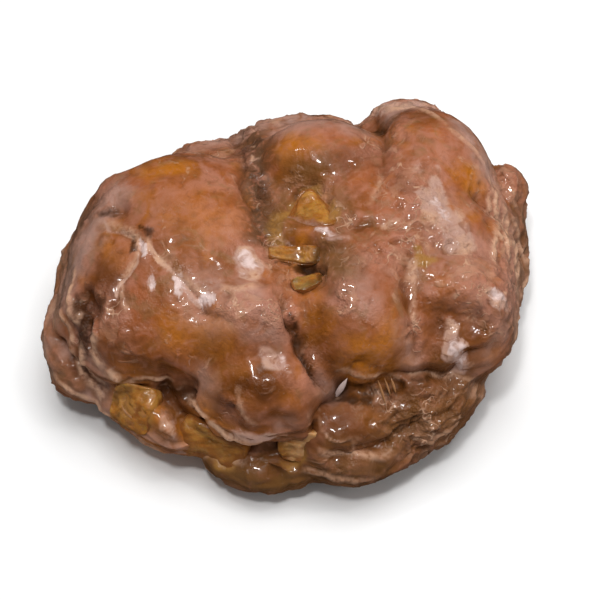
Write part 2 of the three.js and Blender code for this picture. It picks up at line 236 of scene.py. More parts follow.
# the dough: lumps run together, then creased, craggy and glazed; places and routes are in percent, as placed() says
dough = {
    "levels": [(16, 70), (32, 24), (64, 12), (128, 8)],  # cells along a grid's side, and steps of shrinking
    "startSize": 1.2, "shrinkRate": 0.7, "evenRate": 0.25,
    "blend": 1.4,  # millimetres over which lumps run together
    "lumps": [  # place, half sizes, turn in degrees
        ((-2, -4, 35), (73, 66, 52), 12),  # core
        ((-43, -3, 46), (50, 60, 50), 0),  # left mass
        ((40, 11, 45), (54, 64, 50), 0),  # right mass
        ((-46, 12, 58), (40, 46, 40), 0),  # big left fold
        ((-61, -27, 52), (31, 29, 31), 0),  # low left fold
        ((-16, -34, 62), (25, 28, 32), 0),  # left shoulder
        ((-10, -59, 47), (29, 27, 33), -6),  # front fold
        ((14, 47, 60), (30, 26, 38), 0),  # back middle fold
        ((57, 46, 56), (28, 37, 38), 0),  # back right fold
        ((28, -28, 58), (27, 34, 40), 0),  # centre fold
        ((67, -23, 52), (25, 32, 37), 0),  # right fold
        ((83, 26, 28), (17, 45, 26), 0),  # right rim
        ((92, 48, 40), (8, 12, 18), 0),  # right knob
        ((46, -48, 38), (24, 20, 28), 10),  # low right fold
        ((53, -60, 27), (27, 20, 26), 30),  # front right rim
        ((26, -77, 25), (25, 20, 24), 8),  # front rim
        ((22, -72, 30), (19, 14, 20), 10),  # its upper end
        ((-11, -84, 20), (22, 15, 20), -8),  # front left rim
        ((-50, -58, 26), (32, 19, 25), -25),  # left front rim
        ((-45, -72, 30), (10, 10, 14), 0),  # lump between the front apples
        ((-83, -27, 27), (18, 30, 25), 0),  # left rim
        ((-79, 7, 27), (18, 32, 25), 0),  # left back rim
        ((-38, 50, 31), (34, 28, 28), 20),  # back left rim
        ((-15, 40, 50), (13, 30, 34), -4),  # fill of the back channel
        ((3, 71, 30), (33, 24, 28), 6),  # back rim
        ((50, 78, 38), (22, 20, 33), 0),  # back right rim
    ],
    "hollows": [  # depth, half width, half width of the floor, route
        (1.5, 4, 1, (-21, 75), (-17, 60), (-14, 30), (-8, 10), (2, -2)),  # channel at the back
        (1.4, 7, 4, (8, 18), (2, 5), (3, -10), (5, -18)),  # where the apple lies
        (4.5, 3, 0.4, (5, -15.5), (9, -17)),  # dark hole
        (3, 4.5, 0.5, (-91, -37), (-74, -60), (-50, -63)),  # lip of the left folds
        (5, 5.5, 1, (-50, -65), (-38, -78), (-17, -90), (0, -88)),  # of the front fold
        (3, 3, 0.4, (32, -63), (42, -63)),  # of the right folds
        (3, 3.5, 0.5, (-50, -60), (-44, -62), (-40, -65)),  # dark gap over the front apple
        (3.5, 7, 1, (60, -40), (70, -41)),  # hollow in the right fold
        (5, 4.5, 0.3, (-81, -28), (-78, -34)),  # left pit
        (4, 3.2, 0.2, (-79, -36), (-80, -43)),
        (1.5, 4, 0, (-70, 12), (-68, 11)),  # left dimple
        (4, 3, 0.3, (37, 69), (37, 66)),  # hole at the back
    ],
    "swells": [  # height, half width, half width of the top, route
        (2.6, 5, 1, (0, 5), (8, 2), (20, -3)),  # glazed lump over the apple
    ],
    "creases": [  # depth and half width, route
        (4, 2.8, (-3, -30), (0, -39), (4, -48), (4, -54), (9, -62), (17, -70)),  # front cleft
        (2.4, 2.6, (-25, 80), (-21, 60), (-19, 30), (-14, 10), (-9, -6), (-8, -20)),  # left fold
        (3.5, 2.8, (5, -90), (10, -80), (17, -71), (20, -65), (26, -61), (38, -60)),  # centre lip
        (1.8, 5, (33, 91), (38, 50), (37, 30), (30, 8)),  # between the back folds
        (1.6, 4.5, (10, -3), (25, 3), (50, 5)),  # behind the centre fold
        (1.3, 4.5, (49, 5), (60, -10), (86, -8)),  # behind the right fold
        (1.5, 3.5, (47, -2), (47, -33), (49, -58)),  # between the right folds
        (1.6, 3.5, (-80, 7), (-56, -8), (-32, -39), (-20, -48)),  # glazed crease
        (1.2, 2.5, (-57, -6), (-65, -24), (-66, -36)),  # its branch
        (2.5, 1.6, (-60, -2), (-59, -8), (-60, -14)),  # dark crack
        (3, 2, (-84, -25), (-78, -32), (-80, -44)),  # in the left pit
        (2, 2, (-84, -36), (-75, -33)),
        (3.5, 2.6, (36, -61), (60, -57), (84, -46)),  # under the right fold
        (3.5, 5, (14, -93), (35, -89), (54, -74)),  # under the front rim
        (3.5, 3.5, (-22, -80), (-12, -91), (-5, -96), (0, -103)),  # front crack
        (2, 2.5, (-36, -82), (-26, -88), (-14, -90)),  # top of the bottom roll
        (3, 4, (-38, -66), (-38, -84)),  # left crack
        (3.5, 6, (-72, 40), (-55, 55), (-50, 85)),  # back left crack
        (3.5, 6, (72, 27), (90, 20), (102, 10)),  # right crack
    ],
    "creasePowers": (0.8, 1.6),
    "creaseEnds": (0.2, 0.6),  # share of the length over which a crease fades out, and the fade's power
    "sinking": (0, 0.6),  # how far up the skin faces where it begins to sink, and where it sinks in full
    "sinkWander": (8, 1, 1),  # size, reach and seed of the noise that bends hollows and creases
    "smoothing": 0.3,
    "rimLevel": (0.4, 0.65),  # shares of the height where the craggy lower layer gives way to the folds
    "waves": {  # height, size, seed, layers
        "swell": (0.5, 14, 11, 2), "ripple": (0.3, 6, 21, 2), "wrinkle": (0.25, 6, 44, 3),
        "ridge": (0.8, 13, 31, 3), "crag": (0.3, 5, 51, 2), "crumb": (0.9, 3.2, 61, 2),
    },
    "dots": {  # size of the cubes, seed, where a dot begins and ends in sizes, least number that shows
        "bead": (2.4, 42, 0, 0.36, 0.72),
        "pit": (6, 43, 0.04, 0.2, 0.7),
    },
    "beadHeight": 0.3, "crumbBeadHeight": 0.4, "pitDepth": 0.6,
    "wrinkled": (18, 45, 0, 0.7),  # islands: size, seed, range of the noise
    "strays": (14, 6, 0.3, 0.8),  # of stray crumbs
    "threaded": (10, 97, -0.2, 0.4),
    "unbroken": (4, 98, -0.5, 0.3),
    "drumRadius": 50,
    "ridgeStretch": 3,
    "crumbs": [  # strength, radius, route
        (1, 5, (21, -29), (21, -41)), (0.8, 6, (41, -8), (42, -25)), (1, 4, (24, 8)), (1, 5, (-25, 85), (-17, 81)),
        (0.8, 5, (42, 32), (45, 14)), (0.9, 7, (-18, -40), (-2, -39)), (0.9, 5, (75, -21), (79, -30)),
        (1, 3.5, (35, -62), (39, -66)), (0.8, 3.5, (50, -41), (50, -48)), (1, 6, (55, -79), (63, -73)),
        (0.7, 14, (30, -15), (45, -10), (45, 20)), (0.7, 13, (45, 30), (65, -10), (70, -25)),
        (0.7, 11, (85, 25), (88, -10), (80, -35)), (0.6, 9, (-35, -35), (-15, -40)),
        (0.7, 6, (-20, 70), (-15, 40), (-10, 15)), (0.6, 8, (-75, -30), (-65, -45)),
        (0.7, 7, (0, 28), (-7, 10), (-10, -10), (-4, -25)), (0.7, 6, (12, 26), (20, 10), (16, -6)),
        (1, 5, (-2, -18), (3, -23), (12, -20)), (1, 7, (-80, -30), (-79, -40)), (1, 8, (92, 50), (95, 42)),
        (0.9, 11, (41, -75), (50, -80), (62, -68)), (0.7, 12, (-55, 72), (-10, 92)), (0.7, 12, (15, 95), (60, 88)),
    ],
    "crumbWander": (4, 1.5, 3),
    "strayCrumbs": 0.5,
    "veins": [  # lift and half width, paleness, route of a thin ridge of pale glaze; along lip edges the paleness also paints the highlight where they catch light
        (0.4, 1, 0.7, (-76, 8, 84), (-67, 3, 90), (-61, -1, 93), (-56, -7, 93)),
        (0.9, 1.2, 0.8, (-57, -5, 94), (-55, -13, 92)),
        (0.5, 0.8, 0.8, (-59, -6, 93), (-58, -12, 92), (-62, -17, 89), (-66, -22, 85)),
        (0.5, 0.8, 0.6, (-66, -22, 85), (-65, -29, 82), (-63, -37, 82)),
        (0.6, 1.2, 0.7, (-52, -13, 91), (-46, -19, 90), (-37, -27, 90), (-33, -32, 88)),
        (0.6, 1.3, 0.7, (-27, -29, 94), (-18, -31, 95), (-12, -27, 94)),
        (0.6, 0.9, 1, (-86, -8, 67), (-85, -16, 71), (-87, -22, 67), (-87, -28, 68)),
        (0.6, 0.9, 1, (-87, -28, 68), (-84, -33, 66), (-82, -36, 70)),
        (0.8, 1, 1.1, (-90, -27, 63), (-89, -31, 58), (-86, -35, 58), (-86, -41, 54)),
        (0.8, 1, 1.1, (-86, -41, 54), (-85, -43, 45), (-83, -48, 42), (-81, -52, 38)),
        (0.8, 1, 1, (-81, -52, 38), (-78, -55, 33), (-75, -59, 31)),
        (0.7, 1, 0.9, (-82, -41, 57), (-81, -47, 53), (-80, -48, 43), (-74, -57, 34)),
        (0.8, 1.5, 1, (-75, -44, 75), (-77, -45, 60), (-76, -50, 57), (-72, -54, 55)),
        (0.8, 1.5, 1, (-72, -54, 55), (-69, -55, 54), (-67, -57, 50)),
        (0.6, 0.8, 1.1, (-67, -57, 45), (-61, -57, 53), (-54, -58, 55), (-46, -58, 51)),
        (0.6, 0.8, 1, (-95, -45, 35), (-88, -55, 33), (-78, -64, 25), (-70, -69, 24)),
        (0.7, 0.9, 1.4, (-40, -63, 47), (-38, -67, 48), (-34, -72, 51), (-31, -76, 50)),
        (0.7, 0.9, 1.4, (-31, -76, 50), (-28, -80, 48), (-25, -83, 46), (-22, -84, 45)),
        (0.5, 0.8, 1, (-22, -84, 45), (-17, -86, 45), (-10, -87, 46)),
        (0.4, 0.7, 0.7, (-20, -70, 75), (-17, -77, 64), (-13, -79, 57)),
        (0.7, 0.9, 1.2, (80, 42, 72), (84, 24, 64), (83, 8, 66), (86, -6, 60)),
        (0.7, 0.9, 1.2, (83, 40, 66), (87, 26, 58), (86, 14, 60), (84, 2, 66)),
        (0.7, 0.9, 1.2, (87, 20, 56), (92, 10, 44), (92, -6, 44), (88, -20, 50)),
        (0.7, 0.9, 1.2, (79, 10, 72), (83, 4, 66), (86, 10, 60), (90, 6, 52)),
        (0.6, 0.7, 0.8, (84, -10, 66), (87, -20, 52), (84, -32, 50), (80, -40, 46)),
        (0.5, 0.9, 0.7, (-34, -84, 27), (-26, -88, 29), (-16, -90, 31)),
        (0.5, 1, 0.7, (-67, -71, 25), (-55, -77, 19), (-43, -82, 16), (-36, -84, 17)),
        (0.5, 0.9, 0.7, (19, -59, 67), (27, -61, 63), (37, -60, 60)),
        (0.5, 0.9, 0.7, (37, -60, 60), (49, -56, 46), (57, -54, 48), (71, -52, 46)),
        (0.8, 1.4, 0.8, (33, -64, 44), (37, -62, 40), (40, -66, 34), (43, -68, 34)),
        (0.5, 0.9, 0.7, (11, -89, 41), (23, -87, 35), (35, -89, 30), (40, -85, 32)),
        (0.5, 1, 0.6, (37, 89, 48), (46, 79, 74), (56, 74, 80), (65, 60, 90)),
        (0.5, 1, 0.6, (65, 60, 90), (73, 51, 85), (79, 45, 76)),
        (0.6, 0.8, 1, (81, 30, 72), (81, 17, 66), (80, -1, 75), (80, -14, 74)),
        (0.6, 0.8, 1, (85, 31, 66), (89, 21, 54), (90, 2, 58), (91, -8, 45)),
        (0.6, 0.8, 0.9, (91, 29, 54), (95, 20, 39), (97, 9, 26), (95, -8, 34)),
        (0.6, 0.8, 0.8, (50, -10, 84), (49, -19, 85), (49, -30, 83), (48, -41, 72)),
        (0.6, 0.8, 0.5, (40, -8, 89), (45, -12, 84), (48, -19, 85), (46, -26, 85)),
        (0.5, 0.8, 0.7, (49, 6, 88), (41, 3, 86), (35, 1, 87)),
        (0.5, 0.8, 0.5, (32, 12, 86), (33, 23, 86), (36, 31, 85)),
        (0.6, 1, 0.5, (51, -79, 30), (61, -75, 34), (65, -68, 34)),
        (0.6, 1, 0.5, (55, -60, 33), (64, -56, 30), (71, -52, 39)),
        (0.6, 1, 0.5, (4, -94, 32), (20, -97, 28), (35, -94, 26)),
    ],
    "veinStep": 3,  # millimetres between the spots where a vein is laid on the skin
    "veinWander": (0.5, 3, 91),  # reach, size, seed
    "veinEnds": (0.15, 0.5),
    "veinLifted": (0, 1.3),  # half widths between which the ridge falls off, and its paleness
    "veinPale": (0.4, 1.6),
    "thread": {"stretch": 2.5, "noise": (12, 95, 2), "edge": (0.02, 0.1), "onFolds": 0.15, "lift": 0.5, "pale": 0.6},
    "leastVein": 0.55,  # what is left of a vein or thread where it is broken
    "frays": [  # size, reach and seed of the noise that frays the edges of these patches
        (5, 1.2, 61, ("glaze", "veil", "white", "ash")),
        (6, 2.5, 71, ("amber",)), (6, 2.5, 81, ("toast",)), (3, 1.5, 85, ("fruit",)), (6, 2.5, 83, ("moss",)),
        (2.5, 1, 87, ("burnt",)),
    ],
    "glaze": [  # flakes of dried glaze, partly painted reflection, as on the broad lilac patch at the right and the grey band on the front lip: strength, radius, route
        (1.1, 7, (56, 17), (59, 11), (64, 3), (66, -3)), (0.4, 3, (49, 38), (51, 33)), (0.45, 3.5, (60, 34)),
        (1, 4.5, (58, 26), (60, 18)), (1, 5, (36, 88, 60), (42, 84, 67), (50, 81, 73), (59, 85, 66)),
        (1, 4.5, (-18, -12), (-16, -17), (-15, -20)), (0.8, 3, (62, -42), (62, -48)), (1, 4, (62, -50), (66, -50)),
        (1, 5, (80, -30)), (0.45, 1.4, (-76, 9), (-67, 1), (-58, -4), (-54, -11)),
        (0.75, 1.5, (-54, -10), (-46, -20), (-40, -28), (-32, -36)),
        (0.7, 1.3, (-58, -5), (-58, -15), (-64, -23), (-66, -30)),
        (0.8, 3.4, (-22, -83, 49), (-13, -85, 49), (-4, -84, 49)), (0.55, 5.5, (-47, -73, 43), (-45, -78, 38)),
        (0.7, 5, (-8, -59), (-3, -60)), (0.6, 3.2, (14, -3), (23, -5)),
    ],
    "white": [  # painted highlights: white spots that stand for glints of light on the glaze
        (0.9, 1.3, (-57.5, -5), (-56.5, -8), (-55, -14)), (1, 2, (-52.5, -25), (-52.5, -30)),
        (0.9, 2, (-42, -25), (-41.5, -31)), (1.1, 3, (-31, -33), (-29, -36)), (0.55, 3, (-2, -58), (0, -61)),
        (0.75, 3, (-18, -12), (-16, -18)), (0.8, 1.8, (10, -1), (15, -2)), (0.8, 3, (63, -49), (66, -50)),
        (0.7, 3.5, (80, -28)), (0.5, 4, (56, 20), (60, 10)),
    ],
    "veil": [  # soft, clear glaze
        (0.2, 5, (-20, 75), (-17, 55), (-14, 35)), (0.55, 3.5, (-89, -24), (-84, -34), (-77, -48), (-73, -53)),
        (0.6, 3.5, (12, -63), (16, -67), (19, -64)), (0.75, 8, (-91, -20), (-86, -9), (-80, 2), (-74, 12), (-67, 22)),
        (0.8, 5, (-6, 72), (0, 78), (17, 82), (32, 88)), (0.8, 6, (38, 90), (46, 81), (63, 80), (73, 55), (81, 40)),
        (0.5, 6, (87, 28), (91, 13), (88, -20), (82, -40)), (0.65, 10, (-30, -30), (-16, -34), (-10, -44)),
        (0.4, 9, (-35, -36), (-22, -42)), (0.4, 12, (60, 10), (62, -10)), (0.4, 14, (70, -10), (75, -25)),
        (0.4, 9, (24, -20), (26, -35)), (0.8, 7, (-93, -30, 35), (-85, -50, 30), (-70, -66, 25)),
        (0.5, 5, (44, -50), (48, -54)), (0.4, 5, (-33, -62), (-30, -68)), (0.9, 6, (-32, 75), (-10, 84), (10, 86)),
        (0.9, 7, (42, 80, 72), (50, 83, 72), (62, 80, 72), (72, 68, 75)),
        (0.8, 7, (-75, 35, 60), (-60, 55, 60), (-40, 70, 60), (-25, 78, 55)), (0.7, 9, (0, 62), (12, 66), (25, 62)),
        # lightens the shaded lower right edge: partly glaze, partly painted light
        (0.4, 5, (81, -30, 80), (80, -43, 70), (77, -51, 60), (72, -57, 46)),
        (0.6, 4, (-91, -23, 55), (-89, -33, 50), (-88, -40, 44)), (0.6, 5, (-4, -80, 55), (4, -76, 55)),
        (0.8, 5, (-63, -70, 22), (-54, -79, 29), (-46, -83, 30), (-41, -83, 24)),
    ],
    "amber": [
        (0.8, 5, (-55, 31), (-43, 36)), (1, 7, (0, 45), (6, 41)), (1, 4, (71, 29), (74, 38)),
        (1, 8, (25, -58), (39, -55)), (0.7, 8, (-41, -44), (-28, -50)), (0.7, 8, (-25, -66), (-10, -68)),
        (0.8, 6, (8, -32), (11, -43)), (0.4, 12, (-40, 7), (-27, 7)), (0.7, 9, (-69, -9)),
        # the last patch below lightens the shaded lower right edge: partly amber crust, partly painted light
        (0.8, 8, (59, -64), (51, -62)), (0.8, 7, (34, -78)), (0.8, 6, (81, -41, 73), (79, -49, 60)),
        (0.9, 6, (2, 38), (8, 30)), (0.8, 6, (-16, 40), (-12, 20), (0, 5)), (1, 9, (8, 20), (3, 0), (0, -20)),
        (1, 9, (-62, -65), (-50, -72), (-30, -78)),
    ],
    # darker toasted crust, and painted shade in holes, gaps and under the lips: strength, radius, route
    "toast": [
        (1, 9, (-10, -70), (-20, -70)), (0.5, 8, (-75, -42), (-60, -50)), (1, 9, (-80, -28), (-78, -36), (-80, -42)),
        (1, 6, (-20, 75), (-17, 55), (-14, 30), (-8, 10)), (0.75, 8, (60, -38), (72, -44), (80, -36)),
        (0.65, 9, (5, 32), (20, 35), (30, 40)), (1, 9, (-75, -20), (-70, -32)), (0.8, 6, (10, -85), (-10, -95)),
        (0.7, 7, (55, 72), (40, 75)), (0.5, 5, (12, -40), (10, -50), (14, -58)), (1, 13, (45, -66), (60, -60)),
        (1, 3, (-70, 12), (-68, 11)), (0.9, 2, (-57.5, 1)), (1, 3, (37, 69), (37, 64)),
        (0.8, 11, (15, -82), (35, -80)), (0.8, 4, (0, 5), (8, 2)), (1, 5, (-50, -60), (-40, -65)),
        (0.7, 8, (-30, -90, 22), (-17, -95, 25), (-5, -99, 23)), (0.5, 8, (-28, -60), (-12, -62)),
        (0.8, 5, (22, -66, 50), (28, -70, 50)), (0.35, 14, (-70, 15), (-55, 5)), (1, 6, (-71, -30), (-68, -40)),
        (0.4, 9, (20, -20), (25, -28)), (0.9, 5, (44, 28), (48, 22)), (0.8, 6, (2, -50), (8, -58), (14, -68)),
        (0.55, 9, (-12, -52), (-5, -55)), (0.45, 7, (44, -20), (45, -35)), (0.5, 7, (-2, -8), (-3, -22)),
        (0.6, 5, (-12, 50), (-13, 30), (-10, 12)),
    ],
    "fruit": [  # apple that shows through the crust
        (1, 3.8, (-5, 10), (-6, 0), (-5, -8)), (0.8, 3.5, (54, -14), (50, -12)), (0.8, 5, (0, 13), (10, 24)),
        (0.7, 7, (-66, -63, 45), (-55, -70, 38)), (0.9, 6, (-36, -76, 36), (-24, -86, 28)),
        (0.8, 5, (0, -88, 32), (8, -86, 34)), (0.7, 4, (17, 14), (17, 5)),
    ],
    "burnt": [  # painted shade: dark specks, pits, cracks and gaps under the lips
        (1, 4.5, (-82, -28), (-78, -34), (-80, -43)), (0.7, 3, (-72, 13), (-68, 11)),
        (0.8, 1.4, (-57.5, 1), (-53, -3)), (1, 1.2, (-60, -3), (-59.5, -10)), (1, 3, (37, 70), (37, 64)),
        (1, 3.2, (5, -15.5), (9, -17)), (0.9, 1, (-6, -13.5), (10, -14)), (0.8, 4, (-50, -60, 46), (-40, -65, 50)),
        (0.8, 1.6, (0, -38), (4, -48), (4, -54), (8, -61)), (0.8, 3.5, (26, -62, 55), (36, -64, 52), (46, -62, 50)),
        (0.7, 5, (15, -94, 30), (36, -92, 26)), (0.9, 3.2, (20, -65, 50), (25, -68, 52), (30, -67, 52)),
        (0.5, 4, (-13, 36, 82), (-11, 29, 79), (-13, 18, 84)),
        (0.8, 1.6, (38, -60, 55), (43, -60, 56), (50, -60, 57), (58, -56, 55), (66, -53, 53)),
    ],
    "ash": [  # grey-brown grains
        (1, 7, (-18, 78), (-12, 50), (-14, 31), (-12, 12), (-11, -1)), (0.7, 6, (98, 30), (99, -5)),
        (0.6, 6, (-93, -20), (-88, 5), (-78, 20)), (0.9, 5, (2, 72), (8, 78)),
        (0.5, 6, (-47, -73, 43), (-45, -78, 38)),
    ],
    "moss": [  # dark, olive-brown crust
        (0.6, 13, (42, -76), (55, -74), (66, -64)),
        (1, 9, (-30, -90, 22), (-17, -95, 25), (-5, -99, 23), (8, -100, 20)), (0.6, 8, (12, -97), (35, -95)),
        (0.7, 7, (0, 30), (12, 34)), (0.6, 6, (-2, 18), (-4, 2)), (0.6, 6, (20, 20), (22, 6)),
        (0.8, 6, (-3, 22), (-5, 12)), (0.8, 9, (15, -8), (20, -18)),
    ],
    "blurs": {"near": 12, "far": 120, "normals": 20, "skin": 40},  # steps of smoothing
    "nearDepth": 0.5,  # millimetres under the smoothed skin at which a hollow counts in full
    "farDepth": 4,
    "steep": (0.3, 0.8), "front": (0.2, 0.8), "glazeUp": (-0.1, 0.3), "veilUp": (-0.2, 0.3),  # ranges of the normals
}


# signed distance to the lumps run together and the way out: -blend * log(sum(exp(-d / blend))),
# where d is an ellipsoid's reach * (reach - 1) / slope
def lumpField(points):
    total = np.zeros(len(points))
    outward = np.zeros_like(points)
    for at, half, turn in dough["lumps"]:
        c, s = turnOf(turn)
        turned = np.array(((c, -s, 0), (s, c, 0), (0, 0, 1)))
        radii = placed(half)
        local = (points - placed(at)) @ turned / radii
        reach = np.linalg.norm(local, axis=1)
        slope = local / radii
        steep = np.linalg.norm(slope, axis=1)
        weight = np.exp(-reach * (reach - 1) / steep / dough["blend"])
        total += weight
        outward += (weight / steep)[:, None] * (slope @ turned.T)
    return -dough["blend"] * np.log(total), unit(outward)


# a ball of six grids shrunk on to the lumps, from coarse grids to fine ones
def shrunkSkin():
    points = None
    for cells, steps in dough["levels"]:
        ids, quads, links, ball = cubeGrids(cells)
        if points is None:
            points = ball * doughSize * dough["startSize"] / 2 + (0, 0, doughSize[2] / 2)
        else:
            coarse = points[coarseIds]
            fine = np.empty((6, cells + 1, cells + 1, 3))
            fine[:, ::2, ::2] = coarse
            fine[:, 1::2, ::2] = (coarse[:, 1:] + coarse[:, :-1]) / 2
            fine[:, :, 1::2] = (fine[:, :, 2::2] + fine[:, :, :-1:2]) / 2
            points = np.empty((len(ball), 3))
            points[ids.ravel()] = fine.reshape(-1, 3)
        for _ in range(steps):
            distance, outward = lumpField(points)
            points = points - dough["shrinkRate"] * distance[:, None] * outward
            pull = neighbourMean(points, links) - points
            pull -= (pull * outward).sum(1)[:, None] * outward
            points = points + dough["evenRate"] * pull
        coarseIds = ids
    distance, outward = lumpField(points)
    return points - distance[:, None] * outward, outward, quads, links


# how far the skin sinks: in a hollow by depth, easing to 0 from its floor to its width; in a crease by
# depth * (1 - t ** a) ** b with t = gap / width, fading out at both ends; less the swells, by the hollows' formula
def sinkOf(plan):
    sink = np.zeros(len(plan))
    for depth, width, floor, *route in dough["hollows"]:
        sink = np.maximum(sink, depth * nearness(plan, route, floor, width))
    inner, outer = dough["creasePowers"]
    for depth, width, *route in dough["creases"]:
        gap, along = routeGap(plan, placed(route))
        wall = (1 - np.clip(gap / width, 0, 1) ** inner) ** outer
        sink = np.maximum(sink, depth * endFade(along, *dough["creaseEnds"]) * wall)
    for height, width, top, *route in dough["swells"]:
        sink = sink - height * nearness(plan, route, top, width)
    return sink


# places moved out to a drum round the dough, with heights stretched, so that noise runs round it in bands
def onDrum(points, stretch):
    angle = np.arctan2(points[:, 1], points[:, 0])
    return np.stack((*(dough["drumRadius"] * turn(angle) for turn in (np.cos, np.sin)), stretch * points[:, 2]), 1)


# 1 in the middle of those scattered dots that show, easing to 0 at their edges
def dotsOf(points, name):
    size, seed, begin, end, least = dough["dots"][name]
    gap, number = nearestDot(points, size, seed)
    return (1 - ease(gap, begin, end)) * (number > least)


# the crust's own relief: soft swells all over with wrinkles here and there, ridges that run round the lower layer,
# crinkles where crumbs cling, and beads and pits scattered at random
def crustRelief(points, low, crumbs):
    waves, beads = dough["waves"], dotsOf(points, "bead")
    relief = wave(layeredNoise, points, waves["swell"]) + wave(layeredNoise, points, waves["ripple"])
    relief += islands(points, *dough["wrinkled"]) * wave(crinkles, points, waves["wrinkle"])
    relief += dough["beadHeight"] * beads - dough["pitDepth"] * dotsOf(points, "pit")
    ridges = wave(crinkles, onDrum(points, dough["ridgeStretch"]), waves["ridge"])
    relief += low * (ridges + wave(crinkles, points, waves["crag"]))
    return relief + crumbs * (wave(crinkles, points, waves["crumb"]) + dough["crumbBeadHeight"] * beads)


# thin ridges of glaze along routes laid on the skin, easing to 0 at their sides and fading out at both ends;
# and threads where a noise drawn out round the lower layer crosses zero; both broken here and there
def veinsOf(points, low):
    lift, paleness = np.zeros(len(points)), np.zeros(len(points))
    reach, size, seed = dough["veinWander"]
    wandering = points + reach * noisePush(points, size, seed)
    lifted, faded = np.array(dough["veinLifted"]), np.array(dough["veinPale"])
    for height, width, pale, *route in dough["veins"]:
        gap, along = routeGap(wandering, laidSpots(points, route, dough["veinStep"]))
        fade = endFade(along, *dough["veinEnds"])
        lift = np.maximum(lift, height * fade * (1 - ease(gap, *lifted * width)))
        paleness = np.maximum(paleness, pale * fade * (1 - ease(gap, *faded * width)))
    form = dough["thread"]
    thread = 1 - ease(np.abs(layeredNoise(onDrum(points, form["stretch"]), *form["noise"])), *form["edge"])
    thread *= np.maximum(low, form["onFolds"]) * islands(points, *dough["threaded"])
    least = dough["leastVein"]
    kept = least + (1 - least) * islands(points, *dough["unbroken"])
    return np.maximum(lift, form["lift"] * thread) * kept, np.maximum(paleness, form["pale"] * thread) * kept


# the whole skin, with what its finish reads at each corner, and a smoothed copy for the apple to lie on
def doughSurface():
    points, outward, quads, links = shrunkSkin()
    print("skin shrunk on to the lumps")
    low = 1 - ease(points[:, 2] / doughSize[2], *dough["rimLevel"])
    facing = ease(outward[:, 2], *dough["sinking"])
    points = points - (facing * sinkOf(wandered(points, *dough["sinkWander"])[:, :2]))[:, None] * outward
    points = points + dough["smoothing"] * (neighbourMean(points, links) - points)
    crumbs = patches(wandered(points, *dough["crumbWander"]), dough["crumbs"])
    crumbs = np.maximum(crumbs, dough["strayCrumbs"] * islands(points, *dough["strays"]))
    lift, paleness = veinsOf(points, low)
    points = points + (lift + crustRelief(points, low, crumbs))[:, None] * cornerNormals(points, quads)
    points[:, 2] = np.maximum(points[:, 2], 0)
    lowest, highest = points.min(0), points.max(0)
    points = (points - lowest) * doughSize / (highest - lowest) + doughBox[0]
    print("skin creased and roughened")

    normals = cornerNormals(points, quads)
    blurs = dough["blurs"]
    smoothNormals = cornerNormals(blurred(points, links, blurs["normals"]), quads)
    near, far = (((blurred(points, links, blurs[key]) - points) * normals).sum(1) for key in ("near", "far"))
    attributes = {
        # how far a corner lies under the lightly smoothed skin, used to paint shade into creases
        "hollow": np.clip(near / dough["nearDepth"], 0, 1),
        "ridge": np.clip(-near / dough["nearDepth"], 0, 1),
        # how far a corner lies under the broadly smoothed skin, used to paint shade into recesses
        "deep": np.clip(far / dough["farDepth"], 0, 1),
        "low": low,
        "steep": 1 - ease(smoothNormals[:, 2], *dough["steep"]),
        "front": ease(-smoothNormals[:, 1], *dough["front"]),
        "pale": paleness,
        "crumb": crumbs,
    }
    for size, reach, seed, keys in dough["frays"]:
        frayed = wandered(points, size, reach, seed)
        attributes.update({key: patches(frayed, dough[key]) for key in keys})
    attributes["glaze"] *= ease(normals[:, 2], *dough["glazeUp"])
    attributes["veil"] *= ease(smoothNormals[:, 2], *dough["veilUp"])
    return points, quads, attributes, blurred(points, links, blurs["skin"])


class Wire:  # an output socket: arithmetic on it adds Math nodes
    def __init__(self, finish, socket):
        self.finish, self.socket = finish, socket

    def math(self, operation, first, second):
        return self.finish.add("Math", {"operation": operation}, {0: first, 1: second})

    def __add__(self, other):
        return self.math("ADD", self, other)

    def __sub__(self, other):
        return self.math("SUBTRACT", self, other)

    def __rsub__(self, other):
        return self.math("SUBTRACT", other, self)

    def __mul__(self, other):
        return self.math("MULTIPLY", self, other)

    def __abs__(self):
        return self.math("ABSOLUTE", self, 0)

    __radd__, __rmul__ = __add__, __mul__


